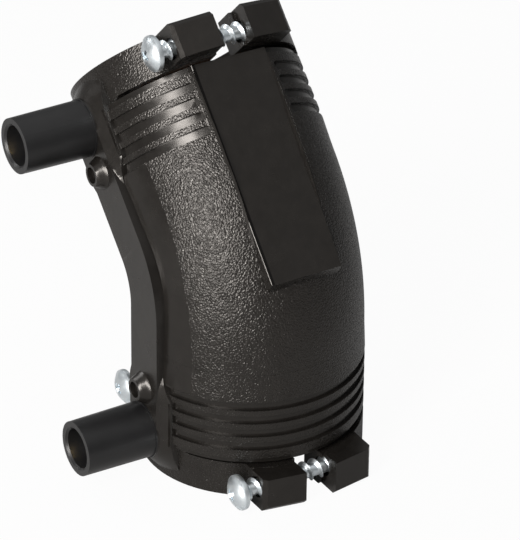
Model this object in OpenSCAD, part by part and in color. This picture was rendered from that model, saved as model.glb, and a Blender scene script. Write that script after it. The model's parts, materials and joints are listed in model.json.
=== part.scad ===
// Electrofusion elbow for polyethylene pipe, 45 degrees, with built-in pipe clamps.
// Origin: centre of the lower socket's mouth. +Z runs up the lower socket's axis.
// +X points to the outside of the bend and -Y to the side with the electrical terminals.
// The upper half is the lower half mirrored about the mitre plane of the bend.

/* [Pipe and bend] */
// Outside diameter of the pipe that goes into both sockets
pipe_d = 40; // [39:0.5:41]
// Radial clearance between pipe and socket
bore_clear = 0.3; // [0.2:0.05:0.5]
// Depth of each socket from its mouth to the pipe stop
socket_depth = 38; // [37:0.5:39]
// Diameter of the passage between the two pipe stops
passage_d = 34; // [31:0.5:35]
// Bend radius of the passage's centre line
passage_bend_r = 24; // [21:1:28]
// Angle between the two pipe axes
bend_angle = 45; // [42:1:48]
// Straight length of each leg, from the mouth to the start of the outer bend
leg_l = 33.8; // [33:0.1:35]
// Bend radius of the outer shell's centre line
shell_bend_r = 42; // [40:1:45]

/* [Shell] */
// Wall thickness over the ribbed fusion zone
wall = 7.7; // [7.4:0.1:8.2]
// Amount by which the bend is slimmer than the ribbed zone
bend_step = 0.3; // [0.2:0.1:0.6]
// Distance from the mouth to the first outer groove
groove_start = 13.7; // [13:0.1:14.2]
// Distance from one outer groove to the next
groove_pitch = 3.62; // [3.4:0.02:3.7]
// Width of an outer groove
groove_w = 2.15; // [1.8:0.05:2.4]
// Depth of an outer groove
groove_d = 0.8; // [0.5:0.1:1]
// Number of outer grooves in each leg
groove_count = 4; // [3:1:4]
// Half of the angle left free of grooves on each side of the label face
groove_free_angle = 25; // [24:1:28]

/* [Clamp rings] */
// Wall thickness of a clamp ring's thinner half, on the terminal side
ring_wall = 5.9; // [5.6:0.1:6.2]
// Chamfer on the outer mouth edge of the thicker half
ring_chamfer = 1.2; // [0.6:0.1:1.6]
// Width of a clamp ring along the socket
ring_w = 8.9; // [8.6:0.1:9.2]
// Width of the slit between clamp ring and shell
slit_w = 1.1; // [1:0.1:1.3]
// Width of the recessed band beside the slit
band_w = 1.4; // [1.1:0.1:1.7]
// Depth of the recessed band
band_d = 0.8; // [0.5:0.1:1]
// Half of the angle over which the slit runs, from the plane of the bend
slit_half_angle = 62.5; // [60:0.5:65]
// Distance from the plane of the bend to the end of the thinner half
thin_end_y = 2.5; // [2:0.1:2.8]
// Distance from the plane of the bend to the end of the thicker half
thick_end_y = 4; // [3.4:0.1:4.4]

/* [Clamp lugs] */
// Distance from the plane of the bend to the head side lug
head_lug_start = 3.25; // [3:0.05:3.5]
// Length of the head side lug along the screw
head_lug_l = 10.55; // [10:0.05:11]
// Distance from the plane of the bend to the thread side lug
thread_lug_start = 4.85; // [4.6:0.05:5.2]
// Length of the thread side lug along the screw
thread_lug_l = 11.2; // [10.6:0.1:11.6]
// Reach of both lugs past the outside of the clamp ring, at the gap
lug_reach = 6.8; // [6.4:0.1:7.4]
// Slope of the outer lug faces
lug_tilt = 9.5; // [7:0.5:10]
// Chamfer on the outer edge of the lugs, at the mouth
lug_chamfer = 1.2; // [0.8:0.1:1.6]
// Chamfer on the end of the head side lug that faces the screw head
head_lug_chamfer = 0.9; // [0.5:0.1:1.2]
// Chamfer on the far end of the thread side lug
thread_lug_chamfer = 1.2; // [0.8:0.1:1.6]

/* [Clamp screws] */
// Distance from the mouth to the screw axis
screw_z = 5.3; // [5:0.1:5.5]
// Distance from the outside of the clamp ring to the screw axis
screw_out = 1.2; // [1:0.1:1.5]
// Outer diameter of the screw thread
thread_d = 5.1; // [4.8:0.1:5.2]
// Core diameter of the screw thread
thread_core_d = 3.5; // [3.2:0.1:3.7]
// Distance from one thread crest to the next
thread_pitch = 2.8; // [2.5:0.1:3]
// Distance from the head to the first thread crest
thread_start = 1.1; // [0.9:0.1:1.5]
// Length of the screw under its head
screw_l = 30; // [28:0.5:32]
// Diameter of the screw head
head_d = 8.7; // [8.4:0.1:9]
// Height of the screw head
head_h = 3; // [2.8:0.1:3.2]
// Distance from the screw head to the lug, before the clamp is tightened
head_standoff = 4.1; // [3.6:0.1:4.5]

/* [Terminals] */
// Distance from the mouth to the terminal axis
terminal_z = 11.35; // [11.2:0.05:11.6]
// Distance from the plane of the bend to the terminal's rim
terminal_reach = 47.2; // [46:0.2:50]
// Outer diameter of the terminal shroud at its rim
shroud_d = 13.5; // [13.2:0.1:13.7]
// Inner diameter of the terminal shroud
shroud_bore_d = 9.8; // [9.5:0.1:10]
// Height of the shroud cavity's floor above the boss
cavity_floor = 5.05; // [4.5:0.05:6]
// Diameter of the contact pin
contact_d = 4; // [3.9:0.1:4.2]
// Distance from the shroud's rim down to the tip of the contact pin
contact_recess = 3.2; // [2.7:0.1:3.7]
// Distance from the socket's wall to the root of the contact pin
contact_root = 2.2; // [2:0.1:2.6]

/* [Bosses and ridge] */
// Distance from the plane of the bend to the top of the bosses and the ridge
boss_top = 29; // [28.8:0.1:29.3]
// Half width of a boss at its top
boss_half_w = 6.4; // [6.3:0.1:6.8]
// Widening of a boss for each unit of depth
boss_flare = 1.35; // [1.1:0.05:1.5]
// Half width of a boss at its low side wall
boss_side = 9.5; // [9.2:0.1:9.8]
// Distance from the mouth to the corner where a boss starts to narrow
boss_corner = 22.4; // [21.5:0.1:23.5]
// Distance from the mouth to the narrow end of a boss
boss_end = 28.6; // [28:0.1:29.2]
// Width of the ridge between the bosses
ridge_w = 12.2; // [11.4:0.1:12.6]
// Bend radius of the ridge's centre line
ridge_bend_r = 21; // [18:1:24]
// Offset of the ridge toward the outside of the bend
ridge_offset = 0.5; // [0:0.05:1]

/* [Fusion indicators] */
// Distance from the mouth to the indicator axis
indicator_z = 22.9; // [22.5:0.1:23]
// Diameter of the indicator pin
indicator_d = 3.9; // [3.6:0.1:4]
// Distance from the socket's wall to the bottom of the indicator pin
indicator_root = 2.4; // [2.2:0.1:3]
// Height of the indicator collar above the boss
collar_h = 2.4; // [2:0.1:2.8]
// Diameter of the collar at the boss
collar_d = 8.2; // [7.6:0.1:8.6]
// Diameter of the collar at its rim
collar_top_d = 5.5; // [5.3:0.1:5.8]
// Distance from the collar's rim down to the indicator pin
indicator_recess = 1; // [0.7:0.1:1.3]

/* [Label face] */
// Distance from the upper socket's axis to the label face, at the slit
label_top = 26.15; // [26:0.05:26.5]
// Slope of the label face toward the socket's axis
label_slope = 2.9; // [2.4:0.1:3]
// Half width of the label face at the slit
label_half_w = 9.95; // [9.6:0.05:10.2]
// Half width of the label face at its raised end
label_end_half_w = 9.4; // [9:0.1:9.6]
// Distance from the upper mouth to the raised end
label_end = 64.7; // [62:0.5:66]
// Distance from the terminal side to the edge of the marking panel, as an angle
panel_angle = 30.5; // [29:0.5:32]
// Depth of the marking panel
panel_d = 0.4; // [0.3:0.05:0.5]

/* [Heating coils] */
// Diameter of the heating wire
wire_d = 0.9; // [0.8:0.05:1]
// Distance from the mouth to the first turn
coil_start = 13.4; // [13.2:0.1:13.6]
// Distance from one turn to the next
coil_pitch = 1.7; // [1.6:0.02:1.7]
// Number of turns in each socket
coil_turns = 9; // [7:1:9]
// Distance from the plane of the bend to the link wire
link_y = 24.8; // [24.4:0.1:25]
// Distance from the socket's wall to the joint of coil and link wire
link_joint = 2.7; // [2.5:0.1:3]

/* [Fits] */
// Radial clearance of the clamp screws in the head side lugs
screw_clear = 0.1; // [0.08:0.01:0.15]
// Radial clearance of the clamp screws in the thread side lugs
thread_clear = 0.05; // [0.03:0.01:0.08]
// Radial clearance of the indicator pins
indicator_clear = 0.05; // [0.03:0.01:0.08]
// Clearance round moulded-in metal and the shroud feet
seat_clear = 0.05; // [0.03:0.01:0.08]
// Clearance round the heating wires
wire_clear = 0.1; // [0.08:0.01:0.12]

/* [Hidden] */
$fn = 96;
cut = 1;
bore_r = pipe_d / 2 + bore_clear;
body_r = bore_r + wall;
mid_r = body_r - bend_step;
ring_r = bore_r + ring_wall;
half_tan = tan(bend_angle / 2);
corner_h = leg_l + shell_bend_r * half_tan;
slit_top = ring_w + slit_w;
shoulder_l = 0.9;
shoulder_start = slit_top - shoulder_l;
band_r = body_r - band_d;
band_end = slit_top + band_w;
last_land = 0.5;
land_end = groove_start + (groove_count - 1) * groove_pitch + groove_w + last_land;
end_spare = 0.05;
slit_round = slit_w / 2 + end_spare;
groove_round = groove_w / 2 + end_spare;
tilt_tan = tan(lug_tilt);
lug_out = ring_r + lug_reach;
lug_root = 1.4;
lug_in = bore_r - lug_root;
screw_x = ring_r + screw_out;
head_face_y = head_lug_start + head_lug_l;
screw_y = -(head_face_y + head_standoff);
thread_flank = 0.55;
thread_land = 0.12;
tip_l = 2.4;
tip_r = 0.5;
recess_l = 4.6;
recess_w = 1;
recess_d = 1.9;
head_edge = 1.3;
shroud_r = shroud_d / 2;
shroud_draft = 0.18;
foot_inset = 0.6;
foot_r = shroud_r - foot_inset;
foot_d = 2.5;
lip_w = 0.4;
lip_r = shroud_r + lip_w;
lip_h = 0.35;
rim_chamfer = 0.5;
contact_r = contact_d / 2;
contact_flange = 0.4;
contact_root_r = contact_r + contact_flange;
contact_chamfer = 0.5;
contact_root_y = bore_r + contact_root;
boss_depth = 5;
boss_from_mouth = 0.4;
boss_end_half_w = ridge_w / 2 + ridge_offset;
seat_collar_h = 1;
cavity_y = boss_top + cavity_floor;
seam = 0.1;
join_step = 0.02;
join_l = 0.3;
ridge_depth = 5;
collar_r = collar_d / 2;
collar_top_r = collar_top_d / 2;
indicator_r = indicator_d / 2;
indicator_bottom_y = bore_r + indicator_root;
indicator_floor = 0.2;
indicator_chamfer = 0.6;
indicator_chamfer_l = 0.4;
label_start = ring_w + slit_w / 2;
label_edge_slope = 0.2;
panel_past_land = 0.2;
panel_end = land_end - panel_past_land;
panel_start_angle = 12;
panel_overlap = 0.2;
panel_reach = 1.08;
panel_out = panel_reach * body_r;
wire_r = wire_d / 2;
groove_half = wire_r + wire_clear;
coil_r = bore_r + groove_half;
coil_end = coil_start + (coil_turns - 1) * coil_pitch;
step_angle = 6;
step_pocket_half = coil_r * sin(step_angle) + 2 * wire_r;
step_pocket_spare = 0.15;
joint_spare = 0.06;
joint_r = wire_r + joint_spare;
end_gap = 0.02;
lead_top_y = contact_root_y - end_gap;
link_joint_y = bore_r + link_joint;
link_bend_r = 20;
link_bend_z = corner_h - link_bend_r * half_tan;
passage_bend_z = corner_h - passage_bend_r * half_tan;
ridge_bend_z = corner_h + ridge_offset * half_tan - ridge_bend_r * half_tan;
shell_colour = [0.12, 0.11, 0.11];
shroud_colour = [0.08, 0.08, 0.09];
zinc_colour = [0.75, 0.78, 0.8];
brass_colour = [0.78, 0.62, 0.32];
wire_colour = [0.72, 0.45, 0.28];

// Places a lower socket part on the upper socket.
module to_upper() {
    translate([0, 0, corner_h])
        mirror([-sin(bend_angle), 0, 1 + cos(bend_angle)])
            translate([0, 0, -corner_h])
                children();
}

// Repeats a part on both sockets.
module on_both() {
    children();
    to_upper() children();
}

// Turns a flat outline through the bend: its x runs outward and its y toward the terminals.
module around_bend(start_z, centre_x) {
    translate([centre_x, 0, start_z])
        rotate([90, 0, 0])
            rotate_extrude(angle = bend_angle)
                children();
}

// A round bar that follows the bend between the two legs.
module round_bend(path_r, start_z, r, y = 0) {
    around_bend(start_z, -path_r)
        translate([path_r, y])
            circle(r = r);
}

// Points a part's +Z toward the terminal side, from the plane of the bend.
module toward_terminals(z, x = 0) {
    translate([x, 0, z])
        rotate([90, 0, 0])
            children();
}

// Ring shaped cutter that spans an angle on both sides of +X.
module arc_cutter(inner_r, outer_r, z, w, half_angle) {
    rotate([0, 0, -half_angle])
        rotate_extrude(angle = 2 * half_angle)
            translate([inner_r, z])
                square([outer_r - inner_r, w]);
}

// Round ends for such a cutter.
module arc_ends(inner_r, outer_r, z, r, half_angle) {
    for (side = [-1, 1])
        rotate([0, 0, side * half_angle])
            translate([inner_r, 0, z])
                rotate([0, 90, 0])
                    cylinder(h = outer_r - inner_r, r = r);
}

// One leg of the shell with its clamp ring, before the hollows are cut.
module leg_solid() {
    rotate_extrude()
        polygon([
            [0, 0], [ring_r, 0], [ring_r, shoulder_start], [band_r, slit_top],
            [band_r, band_end], [body_r, band_end], [body_r, land_end],
            [mid_r + join_step, leg_l - join_l],
            [mid_r + join_step, leg_l + join_l], [0, leg_l + join_l]
        ]);
    rotate_extrude(angle = 180)
        polygon([
            [ring_r - cut, 0], [body_r - ring_chamfer, 0], [body_r, ring_chamfer],
            [body_r, slit_top], [ring_r - cut, slit_top]
        ]);
}

// Outer grooves of one leg; the free angle stays clear round +X.
module outer_grooves(free_angle) {
    for (i = [0 : groove_count - 1]) {
        z = groove_start + i * groove_pitch;
        if (free_angle == 0) {
            rotate_extrude()
                translate([body_r - groove_d, z])
                    square([groove_d + cut, groove_w]);
        } else {
            rotate([0, 0, 180])
                arc_cutter(body_r - groove_d, body_r + cut, z, groove_w, 180 - free_angle);
            arc_ends(body_r - groove_d, body_r + cut, z + groove_w / 2, groove_round, free_angle);
        }
    }
}

// Marking panel beside the ridge, on the bend and the plain ends of both legs.
module marking_panel() {
    on_both()
        rotate([0, 0, -90 + panel_start_angle - join_step])
            rotate_extrude(angle = panel_angle - panel_start_angle + 2 * join_step)
                polygon([
                    [body_r - panel_d, panel_end], [body_r - panel_d, land_end],
                    [mid_r - panel_d - join_step, leg_l + join_l], [body_r + cut, leg_l + join_l],
                    [body_r + cut, panel_end]
                ]);
    translate([-shell_bend_r, 0, leg_l])
        rotate([90, 0, 0])
            rotate([0, 0, -panel_overlap])
                rotate_extrude(angle = bend_angle + 2 * panel_overlap)
                    translate([shell_bend_r, 0])
                        difference() {
                            polygon([
                                [0, 0],
                                panel_out * [sin(panel_start_angle), cos(panel_start_angle)],
                                panel_out * [sin(panel_angle), cos(panel_angle)]
                            ]);
                            circle(r = mid_r - panel_d);
                        }
}

// Raised boss under a terminal and its fusion indicator: flat top, sloping flank, low side wall.
module boss() {
    intersection() {
        union() {
            for (z = [terminal_z, indicator_z])
                toward_terminals(z)
                    translate([0, 0, boss_top - boss_depth])
                        cylinder(h = boss_depth, r1 = boss_half_w + boss_depth * boss_flare, r2 = boss_half_w);
            translate([0, 0, terminal_z])
                linear_extrude(height = indicator_z - terminal_z)
                    polygon([
                        [-boss_half_w + seam, -boss_top],
                        [boss_half_w - seam, -boss_top],
                        [boss_half_w - seam + boss_depth * boss_flare, -boss_top + boss_depth],
                        [-boss_half_w + seam - boss_depth * boss_flare, -boss_top + boss_depth]
                    ]);
        }
        rotate([90, 0, 0])
            linear_extrude(height = boss_top + cut)
                polygon([
                    [-boss_side, boss_from_mouth], [boss_side, boss_from_mouth],
                    [boss_side, boss_corner], [boss_end_half_w, boss_end],
                    [-boss_end_half_w, boss_end], [-boss_side, boss_corner]
                ]);
    }
    toward_terminals(terminal_z)
        translate([0, 0, boss_top - seat_collar_h])
            cylinder(h = seat_collar_h, r = lip_r);
    toward_terminals(indicator_z)
        translate([0, 0, boss_top - cut])
            cylinder(h = collar_h + cut, r1 = collar_r + cut * (collar_r - collar_top_r) / collar_h, r2 = collar_top_r);
}

// Flat ridge that covers the link wire between the bosses.
module ridge() {
    on_both()
        translate([ridge_offset - ridge_w / 2 - join_step, -boss_top, indicator_z])
            cube([ridge_w + 2 * join_step, ridge_depth, ridge_bend_z - indicator_z + join_l]);
    around_bend(ridge_bend_z, ridge_offset - ridge_bend_r)
        translate([ridge_bend_r - ridge_w / 2, boss_top - ridge_depth])
            square([ridge_w, ridge_depth]);
}

// One clamp lug on side -1 or 1 of the plane of the bend; its outer face falls away from the gap.
module lug(side, near, l, end_chamfer) {
    far = near + l;
    end_x = lug_out - l * tilt_tan;
    intersection() {
        translate([0, 0, -cut])
            linear_extrude(height = ring_w + 2 * cut)
                polygon([
                    [0, side * near], [lug_out + cut, side * near],
                    [lug_out + cut, side * (far - end_chamfer)], [end_x, side * (far - end_chamfer)],
                    [end_x - end_chamfer, side * far], [0, side * far]
                ]);
        translate([lug_out, side * near, 0])
            rotate([0, 0, side * lug_tilt])
                translate([-lug_out, 0, 0])
                    rotate([90, 0, 0])
                        linear_extrude(height = 4 * far, center = true)
                            polygon([
                                [lug_in, 0], [lug_out - lug_chamfer, 0], [lug_out, lug_chamfer],
                                [lug_out, ring_w + slit_w / 2], [lug_in, ring_w + slit_w / 2]
                            ]);
    }
}

// Both lugs of one clamp.
module clamp_lugs() {
    lug(-1, head_lug_start, head_lug_l, head_lug_chamfer);
    lug(1, thread_lug_start, thread_lug_l, thread_lug_chamfer);
}

// Repeats a clamp part at the outside and the inside of the bend.
module both_clamps() {
    children();
    mirror([1, 0, 0]) children();
}

// Label face block on the upper leg, in the lower leg's frame.
module label_outline(inner_x, outer_x, end_slope) {
    end_x = label_top - (label_end - label_start) * tan(label_slope);
    intersection() {
        rotate([90, 0, 0])
            linear_extrude(height = 4 * label_half_w, center = true)
                polygon(end_slope > 0 ? [
                    [inner_x, label_start], [label_top, label_start], [end_x, label_end],
                    [inner_x, label_end + (end_x - inner_x) * end_slope]
                ] : [
                    [label_top, label_start], [outer_x, label_start], [outer_x, label_end],
                    [end_x, label_end]
                ]);
        rotate([0, 90, 0])
            linear_extrude(height = 2 * outer_x)
                polygon([
                    [-label_start + cut, -label_half_w], [-label_start + cut, label_half_w],
                    [-label_end - 4 * cut, label_end_half_w], [-label_end - 4 * cut, -label_end_half_w]
                ]);
    }
}

// Everything hollow in one leg: socket, pipe stop, passage, slit, ring gap and screw holes.
module leg_hollows() {
    translate([0, 0, -cut])
        cylinder(h = socket_depth + cut, r = bore_r);
    translate([0, 0, socket_depth - cut])
        cylinder(h = passage_bend_z - socket_depth + cut + join_l, r = passage_d / 2 + join_step);
    both_clamps() {
        arc_cutter(bore_r - cut, lug_out + 2 * cut, ring_w, slit_w, slit_half_angle);
        arc_ends(bore_r - cut, body_r + cut, ring_w + slit_w / 2, slit_round, slit_half_angle);
        translate([bore_r / 2, -thin_end_y, -cut])
            cube([lug_out, thin_end_y + thick_end_y, ring_w + cut + slit_w / 2]);
        translate([screw_x, 0, screw_z])
            rotate([90, 0, 0])
                cylinder(h = 2 * lug_out, r = thread_d / 2 + screw_clear);
        translate([screw_x, 0, screw_z])
            rotate([-90, 0, 0])
                cylinder(h = 2 * lug_out, r = thread_d / 2 + thread_clear);
    }
}

// Seats in one leg for the terminal, the indicator pin and the heating wire.
module leg_seats() {
    toward_terminals(terminal_z) {
        translate([0, 0, boss_top - foot_d - seat_clear])
            cylinder(h = foot_d + cut, r = foot_r + seat_clear);
        translate([0, 0, contact_root_y - seat_clear])
            cylinder(h = boss_top - contact_root_y, r = contact_root_r + seat_clear);
        translate([0, 0, bore_r - cut])
            cylinder(h = contact_root_y - bore_r + cut, r = groove_half);
    }
    toward_terminals(indicator_z)
        translate([0, 0, indicator_bottom_y - indicator_floor])
            cylinder(h = boss_top + collar_h, r = indicator_r + indicator_clear);
    for (i = [0 : coil_turns - 1])
        rotate_extrude()
            translate([bore_r - cut, coil_start + i * coil_pitch - groove_half])
                square([cut + 2 * groove_half, 2 * groove_half]);
    translate([-step_pocket_half, -coil_r - groove_half - step_pocket_spare, coil_start - groove_half])
        cube([2 * step_pocket_half, groove_half + 2 * cut, coil_end - coil_start + 2 * groove_half]);
    translate([-groove_half, -coil_r - groove_half, terminal_z - groove_half])
        cube([2 * groove_half, groove_half + 2 * cut, coil_start - terminal_z + groove_half]);
}

// Path of the link wire as a solid of a given radius; also cuts its channel.
module link_path(r, start_y) {
    on_both() {
        toward_terminals(coil_end)
            translate([0, 0, start_y])
                cylinder(h = link_y - start_y, r = r);
        translate([0, -link_y, coil_end])
            sphere(r = r + joint_spare);
        translate([0, -link_y, coil_end])
            cylinder(h = link_bend_z - coil_end, r = r);
        translate([0, -link_y, link_bend_z])
            sphere(r = r + joint_spare);
    }
    round_bend(link_bend_r, link_bend_z, r, link_y);
}

module body() {
    color(shell_colour)
        difference() {
            union() {
                difference() {
                    union() {
                        on_both() leg_solid();
                        round_bend(shell_bend_r, leg_l, mid_r);
                    }
                    outer_grooves(0);
                    to_upper() outer_grooves(groove_free_angle);
                    marking_panel();
                }
                on_both() {
                    boss();
                    both_clamps() clamp_lugs();
                }
                ridge();
                to_upper() label_outline(bore_r, lug_out, label_edge_slope);
            }
            on_both() {
                leg_hollows();
                leg_seats();
            }
            round_bend(passage_bend_r, passage_bend_z, passage_d / 2);
            link_path(groove_half, bore_r - cut);
            to_upper() label_outline(bore_r, lug_out, 0);
        }
}

module terminal_shroud() {
    color(shroud_colour)
        toward_terminals(terminal_z)
            difference() {
                union() {
                    translate([0, 0, boss_top - foot_d])
                        cylinder(h = foot_d + cut, r = foot_r);
                    translate([0, 0, boss_top])
                        cylinder(h = lip_h, r = lip_r);
                    translate([0, 0, boss_top])
                        cylinder(h = terminal_reach - boss_top, r1 = shroud_r + shroud_draft, r2 = shroud_r);
                }
                translate([0, 0, cavity_y])
                    cylinder(h = terminal_reach - cavity_y + cut, r = shroud_bore_d / 2);
                translate([0, 0, terminal_reach - rim_chamfer])
                    cylinder(h = rim_chamfer + cut, r1 = shroud_bore_d / 2, r2 = shroud_bore_d / 2 + rim_chamfer + cut);
                translate([0, 0, boss_top - foot_d - cut])
                    cylinder(h = terminal_reach, r = contact_root_r + seat_clear);
            }
}

module contact_pin() {
    tip = terminal_reach - contact_recess;
    color(brass_colour)
        toward_terminals(terminal_z)
            rotate_extrude()
                polygon([
                    [0, contact_root_y], [contact_root_r, contact_root_y], [contact_root_r, cavity_y],
                    [contact_r, cavity_y], [contact_r, tip - contact_chamfer],
                    [contact_r - contact_chamfer, tip], [0, tip]
                ]);
}

// One turn of the coil, open beside the terminal side where the wire steps to the next turn.
module coil_turn(z, from_angle, to_angle) {
    translate([0, 0, z])
        rotate([0, 0, -90 + from_angle])
            rotate_extrude(angle = to_angle - from_angle)
                translate([coil_r, 0])
                    circle(r = wire_r);
}

module wire_joint(z, angle) {
    rotate([0, 0, -90 + angle])
        translate([coil_r, 0, z])
            sphere(r = joint_r);
}

module heating_coil() {
    color(wire_colour) {
        for (i = [0 : coil_turns - 1]) {
            z = coil_start + i * coil_pitch;
            first = i == 0;
            last = i == coil_turns - 1;
            coil_turn(z, first ? 0 : step_angle, last ? 360 : 360 - step_angle);
            wire_joint(z, first ? 0 : step_angle);
            wire_joint(z, last ? 0 : -step_angle);
            if (!last)
                coil_step(z);
        }
        translate([0, -coil_r, terminal_z])
            cylinder(h = coil_start - terminal_z, r = wire_r);
        translate([0, -coil_r, terminal_z])
            sphere(r = joint_r);
        toward_terminals(terminal_z)
            translate([0, 0, coil_r])
                cylinder(h = lead_top_y - coil_r, r = wire_r);
        toward_terminals(coil_end)
            translate([0, 0, coil_r])
                cylinder(h = link_joint_y - coil_r, r = wire_r);
    }
}

// Slanted piece of wire from the end of one turn to the start of the next.
module coil_step(z) {
    half = coil_r * sin(step_angle);
    run = 2 * half;
    translate([-half, -coil_r * cos(step_angle), z])
        rotate([0, atan2(run, coil_pitch), 0])
            cylinder(h = sqrt(run * run + coil_pitch * coil_pitch), r = wire_r);
}

module link_wire() {
    color(wire_colour)
        link_path(wire_r, link_joint_y + end_gap);
}

module clamp_screw() {
    crests = floor((screw_l - tip_l - thread_start - thread_flank) / thread_pitch) + 1;
    core_r = thread_core_d / 2;
    crest_r = thread_d / 2;
    head_r = head_d / 2;
    dome = head_h - head_edge;
    dome_r = (head_r * head_r + dome * dome) / (2 * dome);
    color(zinc_colour)
        translate([screw_x, screw_y, screw_z])
            rotate([-90, 0, 0]) {
                rotate_extrude()
                    polygon(concat(
                        [[0, 0], [core_r, 0]],
                        [for (i = [0 : crests - 1], p = [
                            [core_r, thread_start + i * thread_pitch - thread_flank],
                            [crest_r, thread_start + i * thread_pitch - thread_land],
                            [crest_r, thread_start + i * thread_pitch + thread_land],
                            [core_r, thread_start + i * thread_pitch + thread_flank]
                        ]) p],
                        [[core_r, screw_l - tip_l], [tip_r, screw_l], [0, screw_l]]
                    ));
                difference() {
                    intersection() {
                        translate([0, 0, -head_h - cut])
                            cylinder(h = head_h + cut, r = head_r);
                        translate([0, 0, dome_r - head_h])
                            sphere(r = dome_r);
                    }
                    for (turn = [0, 90])
                        rotate([0, 0, turn])
                            translate([-recess_l / 2, -recess_w / 2, -head_h - cut])
                                cube([recess_l, recess_w, recess_d + cut]);
                }
            }
}

module fusion_indicator() {
    top = boss_top + collar_h - indicator_recess;
    color(shell_colour)
        toward_terminals(indicator_z)
            rotate_extrude()
                polygon([
                    [0, indicator_bottom_y], [indicator_r, indicator_bottom_y],
                    [indicator_r, top - indicator_chamfer_l], [indicator_r - indicator_chamfer, top], [0, top]
                ]);
}

body();
terminal_shroud();  // lower_terminal_shroud
to_upper() terminal_shroud();  // upper_terminal_shroud
contact_pin();  // lower_contact_pin
to_upper() contact_pin();  // upper_contact_pin
heating_coil();  // lower_heating_coil
to_upper() heating_coil();  // upper_heating_coil
link_wire();
clamp_screw();  // lower_outer_clamp_screw
mirror([1, 0, 0]) clamp_screw();  // lower_inner_clamp_screw
to_upper() clamp_screw();  // upper_outer_clamp_screw
to_upper() mirror([1, 0, 0]) clamp_screw();  // upper_inner_clamp_screw
fusion_indicator();  // lower_fusion_indicator
to_upper() fusion_indicator();  // upper_fusion_indicator
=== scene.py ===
"""Looks of the electrofusion elbow: grained black polyethylene, smooth shrouds and zinc clamp screws."""
import json
import math

import bpy
from mathutils import Matrix, Vector

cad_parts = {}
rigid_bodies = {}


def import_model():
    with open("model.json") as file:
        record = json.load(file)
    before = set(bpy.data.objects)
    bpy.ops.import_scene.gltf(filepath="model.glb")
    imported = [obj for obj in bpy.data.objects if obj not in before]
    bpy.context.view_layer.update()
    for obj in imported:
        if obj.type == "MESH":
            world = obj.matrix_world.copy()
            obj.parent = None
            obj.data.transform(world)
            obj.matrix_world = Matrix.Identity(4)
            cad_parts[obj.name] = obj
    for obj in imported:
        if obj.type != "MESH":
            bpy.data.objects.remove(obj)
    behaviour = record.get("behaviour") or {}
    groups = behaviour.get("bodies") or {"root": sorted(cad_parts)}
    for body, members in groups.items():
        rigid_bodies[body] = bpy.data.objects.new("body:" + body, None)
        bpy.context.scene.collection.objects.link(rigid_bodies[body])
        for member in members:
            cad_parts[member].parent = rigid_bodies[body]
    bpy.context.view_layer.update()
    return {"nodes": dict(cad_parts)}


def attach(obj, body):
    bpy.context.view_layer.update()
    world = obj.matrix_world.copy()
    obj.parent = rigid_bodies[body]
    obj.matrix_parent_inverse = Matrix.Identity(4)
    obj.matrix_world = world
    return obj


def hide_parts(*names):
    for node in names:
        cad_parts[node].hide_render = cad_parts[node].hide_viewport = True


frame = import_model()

MM = 0.001
WHITE = (1.0, 1.0, 1.0, 1.0)

# Numbers of the Mix node's sockets for colours, because several of its sockets share a name.
MIX_SHARE, MIX_DARK, MIX_LIGHT, MIX_RESULT = 0, 6, 7, 2

# Measures of the moulding, in millimetres, in the frame of the lower socket.
BODY_R = 28.0
RING_R = 26.2
LEG_L = 33.8
SHELL_BEND_R = 42.0
HALF_BEND = math.radians(22.5)
CORNER_H = LEG_L + SHELL_BEND_R * math.tan(HALF_BEND)
MITRE_X, MITRE_Z = -math.sin(HALF_BEND), math.cos(HALF_BEND)

# Limits of the shell's smooth faces, in millimetres and angles, each a little off the face that it bounds.
FACE_MARGIN = 0.12
GROOVE_DEPTH = 0.35
GROOVES_LOW, GROOVES_HIGH = 9.95, 27.0
PANEL_LOW = 26.95
PANEL_TURN = math.radians(30.8)
RIDGE_Y = -27.3
RIDGE_LOW = 10.0
LABEL_HALF_W = 10.1
LABEL_LOW, LABEL_HIGH = 9.0, 65.4
LABEL_X, LABEL_Z = 26.15, 9.65
LABEL_SLOPE = math.tan(math.radians(2.9))
INSIDE_R = 25.9
RIM_H = 0.05
BOSS_HALF_W = 9.65
BOSS_HIGH = 29.0
BOSS_Y = -24.9

# Edges of the label face and of the bosses that catch the light, in millimetres.
LABEL_EDGE_Y = 9.85
LABEL_EDGE_LEAN = 0.0093
LABEL_EDGE_HALF_W = 0.75
LABEL_EDGE_REACH = 1.2
LABEL_EDGE_LOW, LABEL_EDGE_HIGH = 9.6, 64.6
BOSS_EDGE_X = 9.3
BOSS_EDGE_HALF_W = 0.5
BOSS_EDGE_Y = -25.6
BOSS_EDGE_LOW, BOSS_EDGE_HIGH = 10.4, 22.4
EDGE_LEAST = 0.02

# The shell's finish: depth and widths of its grain and marks in millimetres, and their shares of that depth.
GRAIN_DEPTH = 0.28
COARSE_GRAIN, FINE_GRAIN = 0.41, 0.29
COARSE_SHARE, FINE_SHARE = 0.7, 0.3
FAINT_GRAIN_HIGH = 26.9
FAINT_GRAIN_LOSS = 0.45
EDGE_SHARE = 1.8
SPECKLE, SPECKLE_SHARE = 0.12, 0.012
SCUFF, SCUFF_SHARE = 2.2, 0.05
FLOW, FLOW_SHARE = 6.0, 0.3
MOTTLE = 4.0

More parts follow.
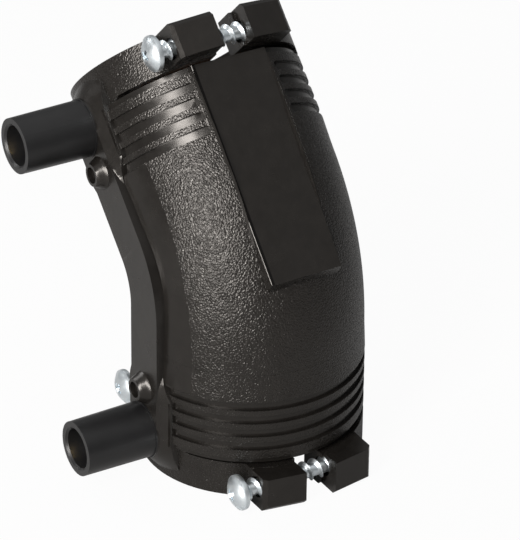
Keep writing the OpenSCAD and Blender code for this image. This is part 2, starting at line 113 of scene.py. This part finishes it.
# Measures of a clamp screw and its place in the lower socket's clamp, in millimetres.
HEAD_D = 8.7
HEAD_H = 3.0
HEAD_BAND = 1.3
HEAD_RIM = 0.22
HEAD_RIM_MIDDLE = 0.06
SHOULDER = 0.3
SHOULDER_MIDDLE_IN, SHOULDER_MIDDLE_UP = 0.07, 0.08
DOME_INSET = 0.25
RECESS_D = 1.9
RECESS_L, RECESS_W = 4.9, 1.15
RECESS_FOOT_L, RECESS_FOOT_W = 0.25, 0.6
THREAD_D = 5.1
THREAD_CORE = 3.5
THREAD_PITCH = 2.8
THREAD_START = 1.1
THREAD_FOOT = 0.62
THREAD_FILLET_R, THREAD_FILLET_H = 0.12, 0.44
THREAD_CREST_R, THREAD_CREST_H = 0.06, 0.12
THREAD_FLAT = 0.05
SPARE_TURNS = 2
SCREW_L = 30.0
SHANK_IN_HEAD = 0.4
TIP_L = 2.4
TIP_SHARE = 0.22
SCREW_X = 27.4
SCREW_Z = 5.3
SCREW_Y = -17.9

# How far each screw is turned, in degrees.
SCREW_TURNS = {"lower_outer": 40, "lower_inner": 150, "upper_outer": 250, "upper_inner": 10}

# Steps of the round pieces, and what counts as one point or height, in millimetres, or as a level face.
DOME_STEPS = 8
HEAD_STEPS = 64
THREAD_STEPS = 48
SAME_POINT = 0.002
SAME_CAD_POINT = 0.004
SAME_HEIGHT = 0.01
FACING_UP = 0.99

# Easing of the moulding's sharp edges: millimetres and degrees.
EDGE_EASE = 0.27
FLAT_WITHIN = 0.2
EASED_FROM = 28
MOULDING_SMOOTH = 40
SCREW_SMOOTH = 32

# The studio, in metres, watts and shares of white.
FLOOR_W = 6.0
FLOOR_DROP = 0.05 * MM
FLOOR_GREY = 0.36
FLOOR_TO_EYE, FLOOR_TO_GLOSS = 0.96, 0.08
WORLD_TO_EYE, WORLD_TO_GLOSS = 1.0, 0.12
WALL_LIGHT, CEILING_LIGHT = 0.09, 0.62
DIM_BELOW, PALE_ABOVE = 0.38, 0.9
LAMP_AIM = (0, 0, 0.05)

# The camera, fitted to the photograph: degrees, millimetres and pixels.
AZIMUTH, ELEVATION, ROLL = 58.88, 29.92, 0.69
TARGET = (5.04, 0, 49.21)
DISTANCE = 919.78
FOCAL_PIXELS = 3894.34
PHOTO_WIDTH = 520
SENSOR_WIDTH = 36.0


class Value:
    """A shader value; arithmetic on it adds Math nodes."""

    def __init__(self, sheet, socket):
        self.sheet = sheet
        self.socket = socket

    def combine(self, operation, *terms):
        return self.sheet.node("ShaderNodeMath", {"operation": operation}, terms)

    def __add__(self, other):
        return self.combine("ADD", self, other)

    __radd__ = __add__

    def __sub__(self, other):
        return self.combine("SUBTRACT", self, other)

    def __rsub__(self, other):
        return self.combine("SUBTRACT", other, self)

    def __mul__(self, other):
        return self.combine("MULTIPLY", self, other)

    __rmul__ = __mul__

    def __gt__(self, other):
        return self.combine("GREATER_THAN", self, other)

    def __lt__(self, other):
        return self.combine("LESS_THAN", self, other)

    def __abs__(self):
        return self.combine("ABSOLUTE", self)

    def root(self):
        return self.combine("SQRT", self)

    def greater(self, other):
        return self.combine("MAXIMUM", self, other)

    def angle(self, other):
        return self.combine("ARCTAN2", self, other)

    def ramp(self, low, high):
        """0 below low, 1 above high, and a straight slope between."""
        sockets = {"Value": self, "From Min": low, "From Max": high}
        return self.sheet.node("ShaderNodeMapRange", {"clamp": True}, sockets)

    def tent(self, half_width):
        """1 where the value is 0, falling to 0 at the half width on both sides."""
        return (1.0 - abs(self) * (1.0 / half_width)).greater(0.0)


class Sheet:
    """The node tree of one material, or of the world."""

    def __init__(self, owner):
        owner.use_nodes = True
        self.owner = owner
        self.tree = owner.node_tree
        self.tree.nodes.clear()

    def node(self, kind, settings=None, sockets=(), out=0):
        """Adds a node with its settings, then its sockets' values or links, and gives one of its outputs."""
        made = self.tree.nodes.new(kind)
        for key, value in (settings or {}).items():
            setattr(made, key, value)
        pairs = sockets.items() if isinstance(sockets, dict) else enumerate(sockets)
        for key, value in pairs:
            if isinstance(value, Value):
                self.tree.links.new(value.socket, made.inputs[key])
            else:
                made.inputs[key].default_value = value
        return Value(self, made.outputs[out]) if made.outputs else None

    def place(self):
        """The point, and its three values in millimetres."""
        point = self.node("ShaderNodeTexCoord", out="Object")
        metres = [self.node("ShaderNodeSeparateXYZ", None, [point], out=axis) for axis in "XYZ"]
        return point, [value * (1.0 / MM) for value in metres]

    def noise(self, point, size, detail=2.0, roughness=0.5):
        """Noise from 0 to 1 whose spots are about this many millimetres apart."""
        sockets = {"Vector": point, "Scale": 1.0 / (size * MM), "Detail": detail, "Roughness": roughness}
        return self.node("ShaderNodeTexNoise", None, sockets)

    def tint(self, share, dark, light):
        """A colour between two colours of red, green and blue."""
        sockets = {MIX_SHARE: share, MIX_DARK: (*dark, 1.0), MIX_LIGHT: (*light, 1.0)}
        return self.node("ShaderNodeMix", {"data_type": "RGBA"}, sockets, out=MIX_RESULT)

    def bump(self, height, depth):
        """A normal for a height from 0 to 1 that stands this many millimetres proud."""
        return self.node("ShaderNodeBump", None, {"Strength": 1.0, "Distance": depth * MM, "Height": height})

    def white_share(self, to_eye, to_gloss):
        """How white a ray sees the backdrop: from the camera, and from a mirror or glass."""
        rays = ("Is Camera Ray", "Is Glossy Ray", "Is Transmission Ray")
        eye, mirror, glass = (self.node("ShaderNodeLightPath", out=ray) for ray in rays)
        return eye * to_eye + (mirror + glass) * to_gloss

    def mixed(self, share, first, second):
        """The first surface, and the second by this share."""
        return self.node("ShaderNodeMixShader", None, [share, first, second])

    def finish(self, **looks):
        """Ends the sheet with a principled surface; a look's underscores stand for spaces."""
        sockets = {look.replace("_", " "): value for look, value in looks.items()}
        return self.close("ShaderNodeOutputMaterial", self.node("ShaderNodeBsdfPrincipled", None, sockets))

    def close(self, output, surface):
        """Joins the surface to the sheet's output, and gives the sheet's material or world."""
        self.node(output, None, {"Surface": surface})
        return self.owner


def past_mitre(x, z):
    """How far a point, of numbers or of shader values, is past the mitre plane toward the upper socket."""
    return x * MITRE_X + (z - CORNER_H) * MITRE_Z


def moved_back(x, z, over):
    """The point moved back square to the mitre plane by twice this distance, so by its own it is mirrored."""
    return x - over * (2 * MITRE_X), z - over * (2 * MITRE_Z)


def any_of(first, *others):
    """1 where at least one of the masks is 1."""
    for mask in others:
        first = first.greater(mask)
    return first


def shell_masks(x, y, z):
    """Where the shell is polished, where its edges catch the light, and where its grain is fainter."""
    over = past_mitre(x, z)
    lower_x, lower_z = moved_back(x, z, over.greater(0.0))
    upper_x, upper_z = moved_back(x, z, over)

    # distance from the centre line, along the straight leg and then round the bend
    leg_r = (lower_x * lower_x + y * y).root()
    arm = lower_z - LEG_L
    reach = lower_x + SHELL_BEND_R
    bend_x = (reach * reach + arm * arm).root() - SHELL_BEND_R
    bend_r = (bend_x * bend_x + y * y).root()
    in_bend = lower_z > LEG_L
    radius = leg_r + in_bend * (bend_r - leg_r)
    around = (lower_x + in_bend * (bend_x - lower_x)).angle(y * -1.0)

    groove = (radius < BODY_R - GROOVE_DEPTH) * (lower_z > GROOVES_LOW) * (lower_z < GROOVES_HIGH)
    raised = radius > BODY_R + FACE_MARGIN
    panel = (lower_z > PANEL_LOW) * (around > 0.0) * (around < PANEL_TURN) * (y < 0.0)
    ridge = (y < RIDGE_Y) * (lower_z > RIDGE_LOW)
    label_x = LABEL_X - (upper_z - LABEL_Z) * LABEL_SLOPE
    label = (abs(y) < LABEL_HALF_W) * (upper_x > label_x - FACE_MARGIN)
    label = label * (upper_z > LABEL_LOW) * (upper_z < LABEL_HIGH)
    inside = radius < INSIDE_R
    rim = lower_z < RIM_H
    boss = (abs(lower_x) < BOSS_HALF_W) * (y < BOSS_Y) * (lower_z < BOSS_HIGH)
    boss = boss * (radius > RING_R + FACE_MARGIN)

    label_edge = (y + LABEL_EDGE_Y - upper_z * LABEL_EDGE_LEAN).tent(LABEL_EDGE_HALF_W)
    label_edge = label_edge * (upper_x > label_x - LABEL_EDGE_REACH)
    label_edge = label_edge * (upper_z > LABEL_EDGE_LOW) * (upper_z < LABEL_EDGE_HIGH)
    boss_edge = (lower_x - BOSS_EDGE_X).tent(BOSS_EDGE_HALF_W) * (y < BOSS_EDGE_Y)
    boss_edge = boss_edge * (lower_z > BOSS_EDGE_LOW) * (lower_z < BOSS_EDGE_HIGH)

    polished = any_of(groove, raised, panel, ridge, label, inside, rim, boss)
    return polished, any_of(label_edge, boss_edge), lower_z < FAINT_GRAIN_HIGH


def moulded_shell():
    """Black polyethylene: spark-eroded grain on body and rings, smooth where the mould was polished."""
    sheet = Sheet(bpy.data.materials.new("moulded_shell"))
    point, place = sheet.place()
    polished, edges, faint = shell_masks(*place)
    grained = 1.0 - polished
    pits = sheet.noise(point, FINE_GRAIN, detail=0.0)
    grain = sheet.noise(point, COARSE_GRAIN, detail=0.0) * COARSE_SHARE + pits * FINE_SHARE
    flow = sheet.noise(point, FLOW)
    speckle = sheet.noise(point, SPECKLE)
    scuff = sheet.noise(point, SCUFF, detail=4.0, roughness=0.65)
    mottle = sheet.noise(point, MOTTLE, detail=3.0)
    height = grain * grained * (1.0 - FAINT_GRAIN_LOSS * faint) * (edges < EDGE_LEAST) + edges * EDGE_SHARE
    height = height + (speckle * SPECKLE_SHARE + scuff * SCUFF_SHARE + flow * FLOW_SHARE) * polished
    return sheet.finish(
        Base_Color=sheet.tint(
            mottle * 0.5 + scuff * 0.5, dark=(0.0028, 0.0024, 0.0021), light=(0.0112, 0.0101, 0.0090)),
        Roughness=(0.16 + 0.26 * pits) * grained + (0.14 + 0.12 * flow + 0.10 * scuff) * polished,
        Normal=sheet.bump(height, GRAIN_DEPTH),
        Specular_IOR_Level=0.33,
        Specular_Tint=(1.0, 0.965, 0.93, 1.0))


def smooth_shroud():
    """Black plastic from a polished mould, with faint flow."""
    sheet = Sheet(bpy.data.materials.new("smooth_shroud"))
    point, _ = sheet.place()
    flow = sheet.noise(point, size=5.0)
    speckle = sheet.noise(point, size=0.15)
    return sheet.finish(
        Base_Color=sheet.tint(flow, dark=(0.0040, 0.0040, 0.0043), light=(0.0075, 0.0075, 0.0079)),
        Roughness=0.3 + 0.1 * flow,
        Normal=sheet.bump(speckle * 0.4 + flow * 0.6, depth=0.02),
        Specular_IOR_Level=0.42)


def bright_zinc():
    """Zinc plate of the clamp screws, faintly blue and streaked."""
    sheet = Sheet(bpy.data.materials.new("bright_zinc"))
    point, _ = sheet.place()
    streak = sheet.noise(point, size=1.2, detail=4.0, roughness=0.6)
    return sheet.finish(
        Base_Color=sheet.tint(streak, dark=(0.62, 0.7, 0.76), light=(0.86, 0.89, 0.9)),
        Metallic=1.0,
        Roughness=0.3 + 0.16 * streak,
        Normal=sheet.bump(sheet.noise(point, size=0.25), depth=0.015))


def bare_metal(name, streak_size, dark, light, roughness):
    """A streaked metal without plating."""
    sheet = Sheet(bpy.data.materials.new(name))
    point, _ = sheet.place()
    streak = sheet.noise(point, streak_size, detail=3.0)
    return sheet.finish(
        Base_Color=sheet.tint(streak, dark, light), Metallic=1.0, Roughness=roughness + 0.15 * streak)


def turned_brass():
    return bare_metal("turned_brass", 0.8, dark=(0.6, 0.43, 0.19), light=(0.78, 0.6, 0.3), roughness=0.28)


def drawn_wire():
    return bare_metal("drawn_wire", 0.5, dark=(0.5, 0.24, 0.12), light=(0.72, 0.4, 0.22), roughness=0.3)


def dress(piece, material):
    piece.data.materials.clear()
    piece.data.materials.append(material)


def pick(piece):
    """Only this piece is selected, and active."""
    bpy.ops.object.select_all(action="DESELECT")
    piece.select_set(True)
    bpy.context.view_layer.objects.active = piece


def edit_all():
    """Edit mode with all of the mesh selected."""
    bpy.ops.object.mode_set(mode="EDIT")
    bpy.ops.mesh.select_all(action="SELECT")


def close_up():
    """Merges the doubles of the mesh in edit mode and turns its faces outward."""
    bpy.ops.mesh.select_all(action="SELECT")
    bpy.ops.mesh.remove_doubles(threshold=SAME_POINT * MM)
    bpy.ops.mesh.normals_make_consistent(inside=False)


def line_of_points(name, points):
    """An open line through (radius, height) points in millimetres, drawn from one vertex."""
    bpy.ops.object.select_all(action="DESELECT")
    bpy.ops.mesh.primitive_plane_add(size=MM, location=(0, 0, 0))
    line = bpy.context.object
    line.name = name
    edit_all()
    bpy.ops.mesh.merge(type="CENTER")
    bpy.ops.transform.translate(value=(points[0][0] * MM, 0, points[0][1] * MM))
    for (r0, z0), (r1, z1) in zip(points, points[1:]):
        step = ((r1 - r0) * MM, 0, (z1 - z0) * MM)
        bpy.ops.mesh.extrude_region_move(TRANSFORM_OT_translate={"value": step})
    bpy.ops.object.mode_set(mode="OBJECT")
    return line


def pan_head():
    """Head with a straight band and a low dome; its flat side lies at height 0 and the dome below."""
    r, dome_foot_r, rise = HEAD_D / 2, HEAD_D / 2 - DOME_INSET, HEAD_H - HEAD_BAND
    dome_r = (dome_foot_r ** 2 + rise ** 2) / (2 * rise)
    slope = math.asin(dome_foot_r / dome_r)
    points = [
        (0.0, 0.0), (r - HEAD_RIM, 0.0), (r - HEAD_RIM_MIDDLE, -HEAD_RIM_MIDDLE), (r, -HEAD_RIM),
        (r, SHOULDER - HEAD_BAND), (r - SHOULDER_MIDDLE_IN, SHOULDER_MIDDLE_UP - HEAD_BAND)]
    for step in range(DOME_STEPS + 1):
        a = slope * (1 - step / DOME_STEPS)
        points.append((dome_r * math.sin(a), dome_r * (1 - math.cos(a)) - HEAD_H))
    head = line_of_points("screw_head", points)
    edit_all()
    bpy.ops.mesh.spin(steps=HEAD_STEPS, angle=2 * math.pi, center=(0, 0, 0), axis=(0, 0, 1))
    close_up()
    bpy.ops.object.mode_set(mode="OBJECT")
    for turn in (0, 90):
        blade = recess_blade(turn)
        cut = head.modifiers.new("recess", "BOOLEAN")
        cut.object = blade
        cut.operation = "DIFFERENCE"
        pick(head)
        bpy.ops.object.modifier_apply(modifier=cut.name)
        bpy.data.objects.remove(blade)
    return head


def recess_blade(turn):
    """One blade of the cross recess, narrower toward its foot, turned by this many degrees."""
    crown = (0, 0, -HEAD_H * MM)
    bpy.ops.object.select_all(action="DESELECT")
    bpy.ops.mesh.primitive_cube_add(size=MM, location=crown)
    blade = bpy.context.object
    edit_all()
    bpy.ops.transform.resize(value=(RECESS_L, RECESS_W, 2 * RECESS_D), center_override=crown)
    bpy.ops.mesh.select_all(action="DESELECT")
    bpy.ops.object.mode_set(mode="OBJECT")
    for vertex in blade.data.vertices:
        vertex.select = vertex.co.z > 0
    bpy.ops.object.mode_set(mode="EDIT")
    bpy.ops.transform.resize(value=(RECESS_FOOT_L, RECESS_FOOT_W, 1.0), center_override=(0, 0, 0))
    bpy.ops.mesh.select_all(action="SELECT")
    bpy.ops.transform.rotate(value=math.radians(turn), orient_axis="Z", center_override=(0, 0, 0))
    bpy.ops.object.mode_set(mode="OBJECT")
    bpy.ops.object.transform_apply(location=True, rotation=True, scale=True)
    return blade


def cut_flat(height, **side):
    """Cuts the mesh in edit mode level at this height in metres, and closes the cut."""
    bpy.ops.mesh.select_all(action="SELECT")
    bpy.ops.mesh.bisect(plane_co=(0, 0, height), plane_no=(0, 0, 1), use_fill=True, **side)


def threaded_shank():
    """Shank with one continuous helical thread and a pointed tip."""
    core, crest = THREAD_CORE / 2, THREAD_D / 2
    half_tooth = [
        (core, THREAD_PITCH / 2), (core, THREAD_FOOT), (core + THREAD_FILLET_R, THREAD_FILLET_H),
        (crest - THREAD_CREST_R, THREAD_CREST_H), (crest, THREAD_FLAT)]
    tooth = [(r, -h) for r, h in half_tooth] + half_tooth[::-1]
    shank = line_of_points("screw_shank", tooth)
    thread = shank.modifiers.new("thread", "SCREW")
    thread.axis = "Z"
    thread.screw_offset = THREAD_PITCH * MM
    thread.iterations = math.ceil(SCREW_L / THREAD_PITCH) + SPARE_TURNS
    thread.steps = thread.render_steps = THREAD_STEPS
    pick(shank)
    bpy.ops.object.modifier_apply(modifier=thread.name)
    edit_all()
    bpy.ops.transform.translate(value=(0, 0, (THREAD_START - SPARE_TURNS * THREAD_PITCH) * MM))
    bpy.ops.mesh.remove_doubles(threshold=SAME_POINT * MM)
    tip_foot = (SCREW_L - TIP_L) * MM
    cut_flat(-SHANK_IN_HEAD * MM, clear_inner=True)
    cut_flat(tip_foot, clear_outer=True)
    bpy.ops.mesh.select_all(action="DESELECT")
    bpy.ops.object.mode_set(mode="OBJECT")
    for face in shank.data.polygons:
        face.select = face.normal.z > FACING_UP and face.center.z > tip_foot - SAME_HEIGHT * MM
    bpy.ops.object.mode_set(mode="EDIT")
    bpy.ops.mesh.select_mode(type="FACE")
    bpy.ops.mesh.extrude_region_move(TRANSFORM_OT_translate={"value": (0, 0, TIP_L * MM)})
    bpy.ops.transform.resize(value=(TIP_SHARE, TIP_SHARE, 1.0), center_override=(0, 0, SCREW_L * MM))
    bpy.ops.mesh.select_mode(type="VERT")
    close_up()
    bpy.ops.object.mode_set(mode="OBJECT")
    return shank


def screw_place(name):
    """Where the named screw's head meets its shank, in millimetres."""
    x, z = SCREW_X if "outer" in name else -SCREW_X, SCREW_Z
    if "upper" in name:
        x, z = moved_back(x, z, past_mitre(x, z))
    return x, SCREW_Y, z


def clamp_screws(material):
    """One pan head screw, copied to its four places."""
    head = pan_head()
    shank = threaded_shank()
    pick(head)
    shank.select_set(True)
    bpy.ops.object.join()
    first = bpy.context.object
    bpy.ops.object.shade_smooth_by_angle(angle=math.radians(SCREW_SMOOTH))
    dress(first, material)
    for clamp, turn in SCREW_TURNS.items():
        name = clamp + "_clamp_screw"
        pick(first)
        bpy.ops.object.duplicate()
        screw = bpy.context.object
        screw.name = name + "_threaded"
        edit_all()
        bpy.ops.transform.rotate(value=math.radians(turn), orient_axis="Z", center_override=(0, 0, 0))
        bpy.ops.transform.rotate(value=math.radians(90), orient_axis="X", center_override=(0, 0, 0))
        bpy.ops.transform.translate(value=[c * MM for c in screw_place(name)])
        bpy.ops.object.mode_set(mode="OBJECT")
        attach(screw, name)
        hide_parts(name)
    bpy.data.objects.remove(first)


def elbow_moulding(material):
    """A merged copy of the body's solid with its sharp edges eased, which stands for it."""
    pick(frame["nodes"]["body"])
    bpy.ops.object.duplicate()
    moulding = bpy.context.object
    bpy.ops.object.parent_clear(type="CLEAR_KEEP_TRANSFORM")
    moulding.name = "elbow_moulding"
    edit_all()
    bpy.ops.mesh.remove_doubles(threshold=SAME_CAD_POINT * MM)
    bpy.ops.mesh.dissolve_limited(angle_limit=math.radians(FLAT_WITHIN))
    bpy.ops.object.mode_set(mode="OBJECT")
    ease = moulding.modifiers.new("eased_edges", "BEVEL")
    ease.width = EDGE_EASE * MM
    ease.segments = 2
    ease.limit_method = "ANGLE"
    ease.angle_limit = math.radians(EASED_FROM)
    bpy.ops.object.modifier_apply(modifier=ease.name)
    bpy.ops.object.shade_smooth_by_angle(angle=math.radians(MOULDING_SMOOTH))
    even = moulding.modifiers.new("even_normals", "WEIGHTED_NORMAL")
    even.keep_sharp = True
    bpy.ops.object.modifier_apply(modifier=even.name)
    dress(moulding, material)
    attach(moulding, "elbow")
    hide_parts("body")


def dress_nodes(shell, shroud, zinc, brass, wire):
    """Gives each CAD node its material, by what its name says it is."""
    finishes = {"screw": zinc, "shroud": shroud, "contact": brass, "coil": wire, "wire": wire}
    for name, node in frame["nodes"].items():
        dress(node, next((finish for word, finish in finishes.items() if word in name), shell))


def pale_floor():
    """A floor that keeps the elbow's shadow and looks white to the camera."""
    bpy.ops.object.select_all(action="DESELECT")
    bpy.ops.mesh.primitive_plane_add(size=FLOOR_W, location=(0, 0, -FLOOR_DROP))
    floor = bpy.context.object
    floor.name = "floor"
    sheet = Sheet(bpy.data.materials.new("pale_floor"))
    lit = sheet.node("ShaderNodeBsdfDiffuse", None, {"Color": (FLOOR_GREY, FLOOR_GREY, FLOOR_GREY, 1.0)})
    glow = sheet.node("ShaderNodeEmission", None, {"Color": WHITE, "Strength": 1.0})
    share = sheet.white_share(FLOOR_TO_EYE, FLOOR_TO_GLOSS)
    dress(floor, sheet.close("ShaderNodeOutputMaterial", sheet.mixed(share, lit, glow)))


def softbox(name, place, size, power, colour=(1, 1, 1)):
    """A rectangular lamp at a place in metres, turned toward the elbow."""
    light = bpy.data.lights.new(name, "AREA")
    light.shape = "RECTANGLE"
    light.size, light.size_y = size
    light.energy = power
    light.color = colour
    lamp = bpy.data.objects.new(name, light)
    bpy.context.scene.collection.objects.link(lamp)
    lamp.location = place
    lamp.rotation_euler = (Vector(place) - Vector(LAMP_AIM)).to_track_quat("Z", "Y").to_euler()


def camera():
    """The photograph's camera: place, turn, roll and lens."""
    azimuth, elevation, roll = (math.radians(angle) for angle in (AZIMUTH, ELEVATION, ROLL))
    flat = math.cos(elevation)
    away = Vector((math.sin(azimuth) * flat, -math.cos(azimuth) * flat, math.sin(elevation)))
    level = Vector((0, 0, 1)).cross(away).normalized()
    upright = away.cross(level)
    right = level * math.cos(roll) + upright * math.sin(roll)
    up = upright * math.cos(roll) - level * math.sin(roll)
    lens = bpy.data.cameras.new("camera")
    lens.sensor_fit = "HORIZONTAL"
    lens.sensor_width = SENSOR_WIDTH
    lens.lens = FOCAL_PIXELS / PHOTO_WIDTH * SENSOR_WIDTH
    lens.clip_start, lens.clip_end = 0.01, 20.0
    view = bpy.data.objects.new("camera", lens)
    bpy.context.scene.collection.objects.link(view)
    place = (Vector(TARGET) + away * DISTANCE) * MM
    view.matrix_world = Matrix.Translation(place) @ Matrix((right, up, away)).transposed().to_4x4()
    bpy.context.scene.camera = view


def studio_world():
    """White to the camera; for light and most reflections dim at the foot and pale overhead."""
    world = bpy.data.worlds.new("studio")
    bpy.context.scene.world = world
    sheet = Sheet(world)
    walls, ceiling, white = (
        sheet.node("ShaderNodeBackground", None, {"Color": WHITE, "Strength": strength})
        for strength in (WALL_LIGHT, CEILING_LIGHT, 1.0))
    toward = sheet.node("ShaderNodeTexCoord", out="Generated")
    height = sheet.node("ShaderNodeSeparateXYZ", None, [toward], out="Z")
    room = sheet.mixed(height.ramp(DIM_BELOW, PALE_ABOVE), walls, ceiling)
    share = sheet.white_share(WORLD_TO_EYE, WORLD_TO_GLOSS)
    sheet.close("ShaderNodeOutputWorld", sheet.mixed(share, room, white))


shell = moulded_shell()
shroud = smooth_shroud()
zinc = bright_zinc()
dress_nodes(shell, shroud, zinc, turned_brass(), drawn_wire())
clamp_screws(zinc)
elbow_moulding(shell)
pale_floor()
softbox("key_light", place=(0.56, -0.97, 0.57), size=(0.34, 1.05), power=38.0, colour=(1.0, 0.97, 0.94))
softbox("left_light", place=(-0.9, -0.5, 0.8), size=(0.5, 0.6), power=5.0)
camera()
studio_world()
bpy.context.scene.view_settings.view_transform = "Standard"
